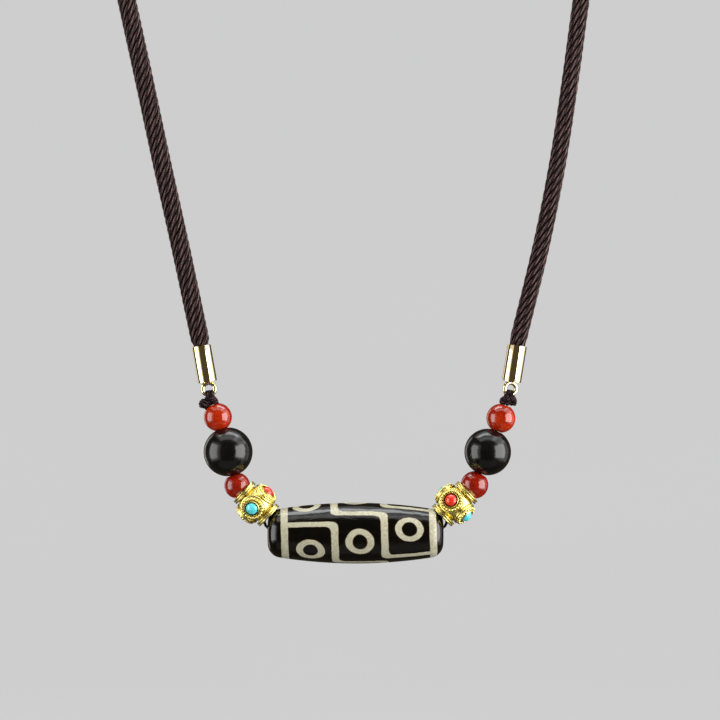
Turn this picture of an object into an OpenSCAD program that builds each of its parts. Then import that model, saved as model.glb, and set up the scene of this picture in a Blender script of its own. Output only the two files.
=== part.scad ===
// A dzi bead necklace: one long patterned agate bead hangs between gilt spacers, carnelian beads
// and black beads, on a thread that is tied to two gilt end caps on a twisted neck rope.
// X runs to the right as seen from the front, Y to the wearer's back, Z up.
// The origin is at the nape, where the inner side of the rope rests on the neck.

/* [Neck] */
// Half of the loop's width, from the middle to the rope's centre at the side of the neck
neck_half_width = 62; // [52:1:76]
// How far the beads hang in front of the nape
reach = 128; // [105:1:150]
// Height of the nape above the axis of the long bead
drop = 210; // [175:1:250]

/* [Rope] */
// Outer diameter of the twisted rope
rope_d = 3.8; // [3.2:0.1:4.6]

/* [Long bead] */
// Length of the long bead
dzi_length = 37.6; // [30:0.2:46]
// Diameter of the long bead at its middle
dzi_d = 13; // [10.8:0.1:15.6]
// How much thinner the long bead gets towards each end, measured on the diameter
dzi_taper = 3.4; // [2:0.1:4.2]
// Radius of the rounding at the rim of each end of the long bead
dzi_end_round = 3; // [2.4:0.1:3.3]
// Diameter of the hole through the long bead
dzi_bore = 2.4; // [2:0.1:2.8]

/* [Round beads] */
// Diameter of the left black bead
left_black_d = 10.5; // [8.4:0.1:12]
// Diameter of the right black bead
right_black_d = 10; // [8.4:0.1:12]
// Diameter of the carnelian bead above the left black bead
left_carnelian_d = 6; // [4.8:0.1:7]
// Diameter of the carnelian bead above the right black bead
right_carnelian_d = 6.2; // [4.8:0.1:7]
// Diameter of the carnelian bead below the left black bead
left_low_carnelian_d = 5.5; // [4.8:0.1:6.2]
// Diameter of the carnelian bead below the right black bead
right_low_carnelian_d = 5.9; // [4.8:0.1:6.2]
// Diameter of the hole through the black beads
black_bore = 1.7; // [1.5:0.05:1.9]
// Diameter of the left black bead's hole at its mouths, in which the small beads sit
left_black_mouth = 2.9; // [2.2:0.1:3.2]
// Diameter of the right black bead's hole at its mouths
right_black_mouth = 2.5; // [2.2:0.1:3.2]
// Diameter of the hole through the carnelian beads
carnelian_bore = 1.6; // [1.5:0.05:1.8]
// Diameter of the carnelian beads' holes at their mouths
carnelian_mouth = 2.1; // [1.9:0.05:2.4]
// Gap between two beads that follow each other on the thread
bead_gap = 0.1; // [0.06:0.01:0.3]

/* [Gilt spacers] */
// Length of a spacer from rim to rim
spacer_length = 7.84; // [7:0.02:9]
// Diameter of the ball in the middle of a spacer
spacer_ball_d = 7.3; // [6.6:0.1:7.8]
// Diameter of the rim at each end of a spacer
rim_d = 6; // [5.4:0.1:6.4]
// Thickness of one of the two discs that make a rim
rim_disc = 0.38; // [0.3:0.02:0.46]
// Width of the groove between the two discs of a rim
rim_groove = 0.16; // [0.1:0.02:0.24]
// Diameter of the hole through a spacer
spacer_bore = 1.7; // [1.5:0.05:1.9]
// How deep the low carnelian bead sinks into a spacer's hollow end
nest = 1; // [0.6:0.05:1.1]
// Height above the spacer's axis at which the round seats of the stones end
seat_height = 3.55; // [3.4:0.05:3.8]
// Diameter of a seat
seat_d = 4.9; // [4.4:0.1:5.2]
// Height of the collar that stands on a seat and holds its stone
collar_height = 0.55; // [0.35:0.05:0.8]
// Thickness of the collar's wall at its upper edge
collar_wall = 0.26; // [0.2:0.02:0.34]
// Diameter of the ring of grains around the collar
grain_ring_d = 4.2; // [4:0.05:4.4]
// Diameter of the grains
grain_d = 0.5; // [0.4:0.05:0.6]

/* [Stones] */
// Diameter of a turquoise or coral stone
stone_d = 2.5; // [2:0.05:2.7]
// How far the stone's dome rises above its collar
stone_rise = 0.62; // [0.4:0.02:0.9]

/* [End caps] */
// Outer diameter of an end cap
cap_d = 4.1; // [3.8:0.1:4.8]
// Length of an end cap without its eye
cap_length = 7.8; // [6:0.05:10]
// Thickness of the cap's wall
cap_wall = 0.3; // [0.2:0.05:0.4]
// Thickness of the cap's floor
cap_floor = 0.8; // [0.6:0.1:1.5]
// Outer diameter of the eye cast on the cap
eye_d = 3.5; // [3.2:0.1:4.2]
// Thickness of the eye's wire
eye_wire = 0.9; // [0.8:0.02:0.96]

/* [Thread] */
// Diameter of the thread
thread_d = 0.7; // [0.5:0.05:0.75]
// Width of a knot
knot_width = 3.6; // [3:0.1:4.2]
// Distance between the left carnelian bead and the eye, where the knot sits
left_tie_length = 1.6; // [1.6:0.05:2.6]
// Distance between the right carnelian bead and the eye
right_tie_length = 1.8; // [1.6:0.05:2.6]

/* [Hidden] */
$fn = 48;

LEFT = -1;
RIGHT = 1;
fit_gap = 0.1;
eps = 0.02;

// How each side of the string hangs, as angles from the vertical in degrees.
// The turn of a spacer brings its first stone that far round from the front;
// the turn of an eye is 0 where its hole faces the front.
// [spacer, low carnelian's hole, step to black, black's hole, step to carnelian, carnelian's hole,
//  step to the eye, cap, spacer's turn, eye's turn]
LEFT_HANG = [46.3, 31, 15.1, 15.8, 16.4, 17, 17.9, 10, 18, 0];
RIGHT_HANG = [46.3, 34, 21.8, 22.1, 21.4, 19, 17.7, 9.2, 20, 20];
SPACER = 0;
LOW_HOLE = 1;
TO_BLACK = 2;
BLACK_HOLE = 3;
TO_CARNELIAN = 4;
CARNELIAN_HOLE = 5;
TO_EYE = 6;
CAP = 7;
SPACER_TURN = 8;
EYE_TURN = 9;
function hang(side, column) = side == LEFT ? LEFT_HANG[column] : RIGHT_HANG[column];

// The direction that leans outward from the vertical, and the one square to it, outward and down
function lean(side, angle) = [side * sin(angle), 0, cos(angle)];
function across(side, angle) = [side * cos(angle), 0, -sin(angle)];

// The long bead's flank is one flat arc, which runs over into the rounded rims
flank_sag = dzi_taper / 2;
flank_r = (pow(dzi_length / 2, 2) + pow(flank_sag, 2)) / (2 * flank_sag);
flank_centre = flank_r - dzi_d / 2;
rim_centre_x = dzi_length / 2 - dzi_end_round;
rim_centre_r = sqrt(pow(flank_r - dzi_end_round, 2) - pow(rim_centre_x, 2)) - flank_centre;
flank_end_x = rim_centre_x * flank_r / (flank_r - dzi_end_round);
flank_end_r = (rim_centre_r + flank_centre) * flank_r / (flank_r - dzi_end_round) - flank_centre;
end_hollow = 0.05;

// The rim of the long bead sinks a little into the spacer's hollow end, off its axis
seat_bite = 0.2;
seat_offset = 0.87;
function dzi_rim(side) = [side * rim_centre_x, -reach, rim_centre_r - drop];
function spacer_mouth(side) = let (a = hang(side, SPACER))
    dzi_rim(side) + lean(side, a) * (dzi_end_round - seat_bite) + across(side, a) * seat_offset;
function spacer_at(side) = spacer_mouth(side) + lean(side, hang(side, SPACER)) * spacer_length / 2;

// The sizes that differ between the two sides
function carnelian_d(side) = side == LEFT ? left_carnelian_d : right_carnelian_d;
function low_carnelian_d(side) = side == LEFT ? left_low_carnelian_d : right_low_carnelian_d;
function tie_length(side) = side == LEFT ? left_tie_length : right_tie_length;

// The hollow end follows the low carnelian bead
hollow_floor = spacer_length / 2 - nest - fit_gap;
function hollow_r(side) = low_carnelian_d(side) / 2 + fit_gap;
function hollow_centre(side) = hollow_floor + hollow_r(side);
function hollow_mouth_r(side) = sqrt(pow(hollow_r(side), 2) - pow(hollow_centre(side) - spacer_length / 2, 2));

// A round bead is ground flat where its hole opens, just wide enough for the mouth
mouth_rim = 0.05;
function ground_length(d, mouth) = 2 * sqrt(pow(d / 2, 2) - pow(mouth / 2 + mouth_rim, 2));
function black_d(side) = side == LEFT ? left_black_d : right_black_d;
function black_mouth(side) = side == LEFT ? left_black_mouth : right_black_mouth;
function black_length(side) = ground_length(black_d(side), black_mouth(side));

// How far the middle of a ball stands above the mouth that it sits in
function stand(ball_d, mouth) = sqrt(pow(ball_d / 2, 2) - pow(mouth / 2, 2)) + bead_gap;

// Each bead stands on the one below it
function low_carnelian_at(side) = spacer_at(side) + lean(side, hang(side, SPACER)) * hollow_centre(side);
function black_at(side) = low_carnelian_at(side)
    + lean(side, hang(side, TO_BLACK)) * (stand(low_carnelian_d(side), black_mouth(side)) + black_length(side) / 2);
function carnelian_at(side) = black_at(side)
    + lean(side, hang(side, TO_CARNELIAN)) * (stand(carnelian_d(side), black_mouth(side)) + black_length(side) / 2);
function eye_at(side) = carnelian_at(side)
    + lean(side, hang(side, TO_EYE)) * (carnelian_d(side) / 2 + tie_length(side) + eye_d / 2);

// The end cap: the eye bites a little into the floor of the cap
eye_bite = 0.2;
eye_below = eye_d / 2 - eye_bite;
eye_ring_r = (eye_d - eye_wire) / 2;
cap_inner_d = cap_d - 2 * cap_wall;
function cap_at(side, height) = eye_at(side) + lean(side, hang(side, CAP)) * (eye_below + height);

// The stones: the seat and the collar hold the stone's lower part
collar_top = seat_height + collar_height;
collar_r = stone_d / 2 + fit_gap / 2 + collar_wall;
collar_spread = 0.2;
stone_foot = seat_height - 0.3;
stone_top = collar_top + stone_rise;
stone_r = stone_d / 2;
dome_base = collar_top - 0.08;
dome_rise = stone_top - dome_base;
dome_r = (pow(stone_r, 2) + pow(dome_rise, 2)) / (2 * dome_rise);

// The spacer's hole opens in the floor of its hollow end
spacer_mouth_d = spacer_bore + 0.9;

// How deep a hole's mouth is, as a share of what it is wider than the hole
mouth_slope = 0.75;

// The rope's way from the cap over the shoulder to the nape, chosen by hand:
// [share of the half width, share of the reach, share of the drop, share of the cap's own place]
LEFT_ROUTE = [
    [0.61, 1.00, 0.705, 0.8],
    [0.673, 1.00, 0.62, 0.6],
    [0.735, 0.995, 0.534, 0.4],
    [0.798, 0.98, 0.45, 0.2],
    [0.86, 0.94, 0.37, 0.1],
    [0.915, 0.87, 0.297, 0],
    [0.965, 0.765, 0.235, 0],
    [0.995, 0.64, 0.182, 0],
    [0.985, 0.505, 0.136, 0],
    [0.92, 0.365, 0.095, 0],
    [0.79, 0.225, 0.058, 0],
    [0.59, 0.105, 0.028, 0],
    [0.31, 0.017, 0.008, 0]
];
RIGHT_ROUTE = [
    [0.642, 1.00, 0.705, 0.8],
    [0.699, 1.00, 0.62, 0.6],
    [0.744, 0.995, 0.534, 0.4],
    [0.785, 0.98, 0.45, 0.2],
    [0.833, 0.94, 0.37, 0.1],
    [0.886, 0.87, 0.297, 0],
    [0.943, 0.765, 0.235, 0],
    [0.986, 0.64, 0.182, 0],
    [0.985, 0.505, 0.136, 0],
    [0.92, 0.365, 0.095, 0],
    [0.79, 0.225, 0.058, 0],
    [0.59, 0.105, 0.028, 0],
    [0.31, 0.017, 0.008, 0]
];
// Where the cap's mouth lies in the same shares
LEFT_CAP_SHARE = [0.536, 1.00, 0.81];
RIGHT_CAP_SHARE = [0.557, 1.00, 0.81];

function place(side, share) =
    [side * neck_half_width * share[0], -reach * share[1], -drop * share[2]];
function route(side) = let (
        rows = side == LEFT ? LEFT_ROUTE : RIGHT_ROUTE,
        shift = cap_at(side, cap_length) - place(side, side == LEFT ? LEFT_CAP_SHARE : RIGHT_CAP_SHARE)
    ) [for (row = rows) place(side, row) + row[3] * shift];

// Smooth curves and tubes
function reversed(list) = [for (i = [len(list) - 1:-1:0]) list[i]];
function unit(v) = v / norm(v);
function heading(path, i) = unit(path[min(i + 1, len(path) - 1)] - path[max(i - 1, 0)]);
function between(path, i, t) = let (
        span = norm(path[i + 1] - path[i]),
        u = 1 - t
    ) path[i] * (1 + 2 * t) * u * u + heading(path, i) * span * t * u * u
        + path[i + 1] * t * t * (3 - 2 * t) - heading(path, i + 1) * span * t * t * u;
function smooth(path, steps) = [
    for (i = [0:len(path) - 2], k = [0:steps - 1]) between(path, i, k / steps),
    path[len(path) - 1]
];
function ring(centre, tangent, aside, radius, sides) = let (
        first = unit(cross(aside, tangent)),
        second = cross(tangent, first)
    ) [for (k = [0:sides - 1]) centre + radius * (cos(360 * k / sides) * first + sin(360 * k / sides) * second)];

// A tube along a path: asides holds a direction for each point that its tangent never takes
module tube(path, radii, asides, sides) {
    last = len(path) - 1;
    rings = [for (i = [0:last]) ring(path[i], heading(path, i), asides[i], radii[i], sides)];
    polyhedron(
        points = [for (one = rings) each one],
        faces = concat(
            [[for (k = [0:sides - 1]) k]],
            [[for (k = [sides - 1:-1:0]) last * sides + k]],
            [for (i = [0:last - 1], k = [0:sides - 1]) let (
                    a = i * sides + k,
                    b = i * sides + (k + 1) % sides
                ) each [[a, a + sides, b + sides], [a, b + sides, b]]]
        )
    );
}

// The rope, drawn in where it enters the caps
rope_sides = 8;
rope_steps = 2;
function rope_end(side) = [cap_at(side, cap_floor + fit_gap), cap_at(side, cap_length - fit_gap)];
rope_control = concat(
    [cap_at(LEFT, cap_length + rope_d / 3)],
    route(LEFT),
    [[0, rope_d / 2, 0]],
    reversed(route(RIGHT)),
    [cap_at(RIGHT, cap_length + rope_d / 3)]
);
rope_path = concat(rope_end(LEFT), smooth(rope_control, rope_steps), reversed(rope_end(RIGHT)));
rope_radii = [for (i = [0:len(rope_path) - 1])
    i < 2 || i > len(rope_path) - 3 ? min(rope_d, cap_inner_d) / 2 - fit_gap : rope_d / 2];
module rope() {
    color("#3a2420") tube(
        rope_path, rope_radii, [for (p = rope_path) [p[0], p[1] + reach / 2, 0]], rope_sides
    );
}

// A round bead on the Z axis, ground flat at both ends, with a hole that is wider at its mouths
module round_bead(d, bore, mouth) {
    length = ground_length(d, mouth);
    difference() {
        intersection() {
            sphere(d = d);
            cylinder(h = length, d = d + 1, center = true);
        }
        cylinder(h = d + 1, d = bore, center = true);
        for (end = [0, 180]) rotate([end, 0, 0]) hole_mouth(length / 2, bore, mouth, eps);
    }
}

// The cone of a hole's mouth, carried on by a margin above the face that it opens in
module hole_mouth(face, bore, mouth, margin) {
    depth = (mouth - bore) * mouth_slope;
    translate([0, 0, face - depth])
        cylinder(h = depth + margin, d1 = bore, d2 = mouth + margin / mouth_slope);
}

// Puts children on a point of the string, leaning by an angle
module lean_at(point, side, angle) {
    translate(point) rotate([0, side * angle, 0]) children();
}

module carnelian_upper(side) {
    color("#c8321a") lean_at(carnelian_at(side), side, hang(side, CARNELIAN_HOLE))
        round_bead(carnelian_d(side), carnelian_bore, carnelian_mouth);
}
module carnelian_lower(side) {
    color("#9e1f14") lean_at(low_carnelian_at(side), side, hang(side, LOW_HOLE))
        round_bead(low_carnelian_d(side), carnelian_bore, carnelian_mouth);
}
module black_bead(side) {
    color("#1c1b19") lean_at(black_at(side), side, hang(side, BLACK_HOLE))
        round_bead(black_d(side), black_bore, black_mouth(side));
}

// The long bead lies along X
dzi_mouth = dzi_bore + 1.5;
dzi_mouth_depth = (dzi_mouth - dzi_bore) * mouth_slope;
module dzi_profile() {
    intersection() {
        translate([-flank_centre, 0]) circle(r = flank_r, $fn = 720);
        translate([0, -flank_end_x]) square([dzi_d, 2 * flank_end_x]);
    }
    for (end = [-1, 1]) {
        translate([rim_centre_r, end * rim_centre_x]) circle(r = dzi_end_round);
        mirror([0, end < 0 ? 1 : 0]) polygon([
            [0, flank_end_x - eps],
            [flank_end_r - eps, flank_end_x - eps],
            [rim_centre_r, rim_centre_x],
            [rim_centre_r, dzi_length / 2 - end_hollow],
            [0, dzi_length / 2 - end_hollow]
        ]);
    }
}
module dzi_bead() {
    color("#24201c") translate([0, -reach, -drop]) rotate([0, 90, 0]) difference() {
        rotate_extrude() intersection() {
            dzi_profile();
            translate([0, -dzi_length]) square([dzi_d, 2 * dzi_length]);
        }
        cylinder(h = dzi_length + 1, d = dzi_bore, center = true);
        for (end = [0, 180]) rotate([end, 0, 0]) hole_mouth(dzi_length / 2, dzi_bore, dzi_mouth, eps);
    }
}

// A spacer: a ball with a double rim at each end and four seats for stones around it
module spacer_body() {
    rim_height = 2 * rim_disc + rim_groove;
    sphere(d = spacer_ball_d);
    for (end = [0, 180]) rotate([end, 0, 0]) {
        translate([0, 0, spacer_length / 2 - rim_disc]) cylinder(h = rim_disc, d = rim_d);
        translate([0, 0, spacer_length / 2 - rim_height]) cylinder(h = rim_disc, d = rim_d);
        translate([0, 0, spacer_length / 2 - rim_height]) cylinder(h = rim_height, d = rim_d - 4 * rim_groove);
    }
}
module stone_seat() {
    cylinder(h = seat_height, d = seat_d);
    translate([0, 0, seat_height]) rotate_extrude() translate([grain_ring_d / 2, 0]) circle(d = grain_d);
    translate([0, 0, seat_height - eps]) cylinder(
        h = collar_height + eps,
        r1 = collar_r + collar_spread,
        r2 = collar_r
    );
}
module at_seat(side, k) {
    rotate([0, 0, 90 * k - 90 - hang(side, SPACER_TURN)]) rotate([0, 90, 0]) children();
}
module spacer(side) {
    color("#e3b23c") lean_at(spacer_at(side), side, hang(side, SPACER)) difference() {
        union() {
            spacer_body();
            for (k = [0:3]) at_seat(side, k) stone_seat();
        }
        cylinder(h = spacer_length + 1, d = spacer_bore, center = true);
        for (end = [0, 180]) rotate([end, 0, 0]) {
            translate([0, 0, hollow_centre(side)]) sphere(r = hollow_r(side));
            hole_mouth(hollow_floor, spacer_bore, spacer_mouth_d, nest / 2);
        }
        for (k = [0:3]) at_seat(side, k) translate([0, 0, stone_foot - fit_gap / 2])
            cylinder(h = stone_top, d = stone_d + fit_gap);
    }
}
module stone(side, k) {
    lean_at(spacer_at(side), side, hang(side, SPACER)) at_seat(side, k) {
        translate([0, 0, stone_foot]) cylinder(h = dome_base - stone_foot, d = stone_d);
        intersection() {
            translate([0, 0, stone_top - dome_r]) sphere(r = dome_r);
            translate([0, 0, dome_base - eps]) cylinder(h = dome_rise + 1, d = stone_d);
        }
    }
}
module turquoise(side, k) {
    color("#3fc0c8") stone(side, k);
}
module coral(side, k) {
    color("#e8321e") stone(side, k);
}

// An end cap: a cup for the rope's end, with an eye below it
module end_cap(side) {
    color("#d9b66a") translate(cap_at(side, 0)) rotate([0, side * hang(side, CAP), 0]) difference() {
        union() {
            cylinder(h = cap_length, d = cap_d);
            translate([0, 0, -eye_below]) rotate([90, 0, hang(side, EYE_TURN)])
                rotate_extrude() translate([eye_ring_r, 0]) circle(d = eye_wire);
            translate([0, 0, -eye_wire / 2]) cylinder(h = eye_wire / 2 + eps, d1 = eye_wire, d2 = 2.2 * eye_wire);
        }
        translate([0, 0, cap_floor]) cylinder(h = cap_length, d = cap_inner_d);
    }
}

// A knot: the thread loops through the eye, over lobes that lie below it
// [share of the width outward, share backward, share up, radius as a share of the width]
LEFT_LOBES = [[0.31, 0.02, -0.09, 0.24], [0, -0.03, -0.01, 0.19], [-0.26, 0.01, 0.04, 0.2]];
RIGHT_LOBES = [[-0.24, 0.02, 0.01, 0.19], [0.02, -0.04, 0, 0.18], [0.27, 0.01, 0, 0.2]];
function knot_at(side) = carnelian_at(side)
    + lean(side, hang(side, TO_EYE)) * (carnelian_d(side) + tie_length(side)) / 2;
function eye_bottom(side) = cap_at(side, -eye_below - eye_ring_r);
loop_r = (eye_wire + thread_d) / 2 + fit_gap / 2;
module knot(side) {
    lobes = side == LEFT ? LEFT_LOBES : RIGHT_LOBES;
    color("#2b1a16") union() {
        for (lobe = lobes)
            translate(knot_at(side) + knot_width * [side * lobe[0], lobe[1], lobe[2]])
                rotate([90, 90, 0]) sphere(r = knot_width * lobe[3]);
        translate(eye_bottom(side)) rotate([0, side * hang(side, CAP), 0])
            rotate([90, 0, hang(side, EYE_TURN) + 90]) rotate_extrude() translate([loop_r, 0]) circle(d = thread_d);
    }
}

// The thread, from the middle of the long bead up one side
thread_sides = 8;
thread_steps = 2;
thread_lift = (dzi_bore - thread_d) / 2 - fit_gap;
function bead_end(centre, side, angle, length, end) = centre + end * lean(side, angle) * length / 2;
function halfway(a, b) = (a + b) / 2;
function thread_side(side) = let (
        a = hang(side, SPACER),
        axis = lean(side, a),
        mouth = spacer_mouth(side),
        low_lip = mouth + across(side, a) * hollow_mouth_r(side),
        low = low_carnelian_at(side),
        black = black_at(side),
        high = carnelian_at(side),
        face = side * dzi_length / 2,
        spacer_top = mouth + axis * (spacer_length / 2 + hollow_floor),
        mouth_depth = (spacer_mouth_d - spacer_bore) * mouth_slope,
        low_length = ground_length(low_carnelian_d(side), carnelian_mouth),
        high_length = ground_length(carnelian_d(side), carnelian_mouth),
        low_end = hang(side, LOW_HOLE),
        black_end = hang(side, BLACK_HOLE),
        high_end = hang(side, CARNELIAN_HOLE)
    ) [
        [face - side * 2, -reach, thread_lift - drop],
        [face - side * dzi_mouth_depth / 2, -reach, thread_lift + fit_gap - drop],
        halfway(low_lip, [face, -reach, low_lip[2]]),
        mouth + axis * (spacer_length / 2 - hollow_floor + mouth_depth),
        spacer_at(side),
        spacer_top - axis * mouth_depth,
        halfway(spacer_top, bead_end(low, side, low_end, low_length, -1)),
        low,
        halfway(
            bead_end(low, side, low_end, low_length, 1),
            bead_end(black, side, black_end, black_length(side), -1)
        ),
        black,
        halfway(
            bead_end(black, side, black_end, black_length(side), 1),
            bead_end(high, side, high_end, high_length, -1)
        ),
        high,
        bead_end(high, side, high_end, high_length, 1)
    ];
thread_control = concat(reversed(thread_side(LEFT)), [[0, -reach, thread_lift - drop]], thread_side(RIGHT));
thread_path = smooth(thread_control, thread_steps);
module thread() {
    color("#2b1a16") tube(
        thread_path,
        [for (p = thread_path) thread_d / 2],
        [for (p = thread_path) [0, 1, 0]],
        thread_sides
    );
}

rope();
end_cap(LEFT);  // left_end_cap
end_cap(RIGHT);  // right_end_cap
thread();
knot(LEFT);  // left_knot
knot(RIGHT);  // right_knot
carnelian_upper(LEFT);  // left_carnelian_upper
carnelian_upper(RIGHT);  // right_carnelian_upper
carnelian_lower(LEFT);  // left_carnelian_lower
carnelian_lower(RIGHT);  // right_carnelian_lower
black_bead(LEFT);  // left_black_bead
black_bead(RIGHT);  // right_black_bead
spacer(LEFT);  // left_spacer
spacer(RIGHT);  // right_spacer
turquoise(LEFT, 0);  // left_turquoise_front
coral(LEFT, 1);  // left_coral_upper
turquoise(LEFT, 2);  // left_turquoise_back
coral(LEFT, 3);  // left_coral_lower
coral(RIGHT, 0);  // right_coral_front
turquoise(RIGHT, 1);  // right_turquoise_lower
coral(RIGHT, 2);  // right_coral_back
turquoise(RIGHT, 3);  // right_turquoise_upper
dzi_bead();
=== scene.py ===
"""The dzi bead necklace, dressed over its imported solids."""
import math

import bmesh
import bpy
import numpy as np
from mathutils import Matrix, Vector


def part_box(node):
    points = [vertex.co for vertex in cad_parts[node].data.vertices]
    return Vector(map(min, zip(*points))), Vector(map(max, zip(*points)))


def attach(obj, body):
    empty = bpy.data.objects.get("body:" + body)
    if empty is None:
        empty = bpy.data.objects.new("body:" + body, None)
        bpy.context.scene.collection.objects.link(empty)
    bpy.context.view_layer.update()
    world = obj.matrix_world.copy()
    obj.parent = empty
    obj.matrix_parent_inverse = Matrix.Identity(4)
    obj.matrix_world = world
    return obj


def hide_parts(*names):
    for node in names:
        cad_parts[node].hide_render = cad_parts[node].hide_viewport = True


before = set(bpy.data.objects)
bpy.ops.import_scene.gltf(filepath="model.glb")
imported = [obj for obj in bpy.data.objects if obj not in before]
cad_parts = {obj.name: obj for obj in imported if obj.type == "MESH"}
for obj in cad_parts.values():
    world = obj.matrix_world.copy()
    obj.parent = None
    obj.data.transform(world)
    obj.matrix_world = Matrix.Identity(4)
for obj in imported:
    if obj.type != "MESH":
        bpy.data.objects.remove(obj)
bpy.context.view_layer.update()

MM = 0.001
LEFT, RIGHT = -1, 1
SIDE_NAME = {LEFT: "left", RIGHT: "right"}

# The necklace's sizes, as the solids have them, in mm

NECK_HALF_WIDTH, REACH, DROP = 62.0, 128.0, 210.0
FRONT_Y, BEAD_LINE_Z = -REACH, -DROP

# How far each piece leans outward from the vertical, in degrees
HANG = {
    LEFT: dict(spacer=46.3, low_hole=31, black_hole=15.8, high_hole=17, to_eye=17.9, cap=10,
               spacer_turn=18, eye_turn=0),
    RIGHT: dict(spacer=46.3, low_hole=34, black_hole=22.1, high_hole=19, to_eye=17.7, cap=9.2,
                spacer_turn=20, eye_turn=20),
}
FIT_GAP = 0.1
ROPE_D, THREAD_D = 3.8, 0.7
DZI_LENGTH, DZI_D, DZI_SAG, DZI_ROUND = 37.6, 13.0, 1.7, 3.0
DZI_BORE, DZI_MOUTH = 2.4, 3.9
BLACK_D = {LEFT: 10.5, RIGHT: 10.0}
BLACK_BORE = 1.7
BLACK_MOUTH = {LEFT: 2.9, RIGHT: 2.5}
HIGH_D = {LEFT: 6.0, RIGHT: 6.2}
LOW_D = {LEFT: 5.5, RIGHT: 5.9}
SMALL_BORE, SMALL_MOUTH = 1.6, 2.1
# How deep a hole's mouth is, as a share of what it is wider than the hole
MOUTH_SLOPE = 0.75
DZI_MOUTH_DEPTH = (DZI_MOUTH - DZI_BORE) * MOUTH_SLOPE
# A round bead is ground flat to this far outside its hole, and the long bead's ends are this much hollow
GROUND_RIM, END_HOLLOW = 0.05, 0.05
# Half a spacer's length, the height of its hollow end's floor, and the radius at the hollow's lip
SPACER_HALF, HOLLOW_FLOOR, LIP_R = 3.92, 2.82, 2.27
# A spacer's hole, and the height where it begins to widen towards the hollow
SPACER_BORE, BORE_TOP = 1.7, 2.145
TIE_LENGTH = {LEFT: 1.6, RIGHT: 1.8}
CAP_D, CAP_LENGTH, CAP_WALL, CAP_FLOOR = 4.1, 7.8, 0.3, 0.8
EYE_D, EYE_WIRE, EYE_BELOW = 3.5, 0.9, 1.55
# The thread lies against the upper side of the long bead's hole
THREAD_Z = BEAD_LINE_Z + (DZI_BORE - THREAD_D) / 2 - FIT_GAP

# The rope's way from a cap over the shoulder, given as the source has it:
# (share of the half width, share of the reach, share of the drop, share of the cap's own place)
OVER_CHEST = {
    LEFT: [
        (0.61, 1.00, 0.705, 0.8), (0.673, 1.00, 0.62, 0.6), (0.735, 0.995, 0.534, 0.4),
        (0.798, 0.98, 0.45, 0.2), (0.86, 0.94, 0.37, 0.1), (0.915, 0.87, 0.297, 0),
        (0.965, 0.765, 0.235, 0), (0.995, 0.64, 0.182, 0),
    ],
    RIGHT: [
        (0.642, 1.00, 0.705, 0.8), (0.699, 1.00, 0.62, 0.6), (0.744, 0.995, 0.534, 0.4),
        (0.785, 0.98, 0.45, 0.2), (0.833, 0.94, 0.37, 0.1), (0.886, 0.87, 0.297, 0),
        (0.943, 0.765, 0.235, 0), (0.986, 0.64, 0.182, 0),
    ],
}
# Round the neck both sides go alike
ROUND_NECK = [
    (0.985, 0.505, 0.136, 0), (0.92, 0.365, 0.095, 0), (0.79, 0.225, 0.058, 0),
    (0.59, 0.105, 0.028, 0), (0.31, 0.017, 0.008, 0),
]
# Where the cap's mouth lies in the same shares
CAP_SHARE = {LEFT: (0.536, 1.00, 0.81), RIGHT: (0.557, 1.00, 0.81)}


def lean(side, degrees):
    """The direction that leans outward from the vertical on one side."""
    a = math.radians(degrees)
    return np.array([side * math.sin(a), 0.0, math.cos(a)])


def turn_about(axis, degrees):
    """The matrix that turns points about one of the axes x, y and z."""
    c, s = math.cos(math.radians(degrees)), math.sin(math.radians(degrees))
    if axis == "x":
        return np.array([[1, 0, 0], [0, c, -s], [0, s, c]])
    if axis == "y":
        return np.array([[c, 0, s], [0, 1, 0], [-s, 0, c]])
    return np.array([[c, -s, 0], [s, c, 0], [0, 0, 1]])


def middle_of(node):
    """The middle of a CAD node's box, in mm."""
    low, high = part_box(node)
    return (np.array(low) + np.array(high)) / 2 / MM


def cap_at(side, height):
    """A point on the middle line of an end cap, at a height above its floor's underside."""
    hang = HANG[side]
    high = middle_of(f"{SIDE_NAME[side]}_carnelian_upper")
    eye = high + lean(side, hang["to_eye"]) * (HIGH_D[side] / 2 + TIE_LENGTH[side] + EYE_D / 2)
    return eye + lean(side, hang["cap"]) * (EYE_BELOW + height)


def neck_point(side, shares):
    """A point given in shares of the half width, the reach and the drop."""
    return np.array([side * NECK_HALF_WIDTH, -REACH, -DROP]) * shares[:3]


def rope_side(side):
    """The rope's way from one cap up to where it rounds the nape."""
    shift = cap_at(side, CAP_LENGTH) - neck_point(side, CAP_SHARE[side])
    rows = OVER_CHEST[side] + ROUND_NECK
    return [cap_at(side, CAP_LENGTH + ROPE_D / 3)] + [neck_point(side, row) + row[3] * shift for row in rows]


# Camera and light

# The photograph's width at the beads and the point in its middle give the camera's place
LENS, SENSOR = 150.0, 36.0
PHOTO_WIDTH = 154.3 * MM
PHOTO_MIDDLE = (0.96 * MM, FRONT_Y * MM, -172.9 * MM)
LIT_POINT = (0, FRONT_Y * MM, -190 * MM)


def set_camera():
    """Looks level at the front of the necklace, framed as the photograph is."""
    data = bpy.data.cameras.new("camera")
    data.lens, data.sensor_width = LENS, SENSOR
    data.clip_start, data.clip_end = 0.01, 50
    camera = bpy.data.objects.new("camera", data)
    camera.location = (PHOTO_MIDDLE[0], PHOTO_MIDDLE[1] - PHOTO_WIDTH * LENS / SENSOR, PHOTO_MIDDLE[2])
    camera.rotation_euler = (math.pi / 2, 0, 0)
    bpy.context.scene.collection.objects.link(camera)
    bpy.context.scene.camera = camera


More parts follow.
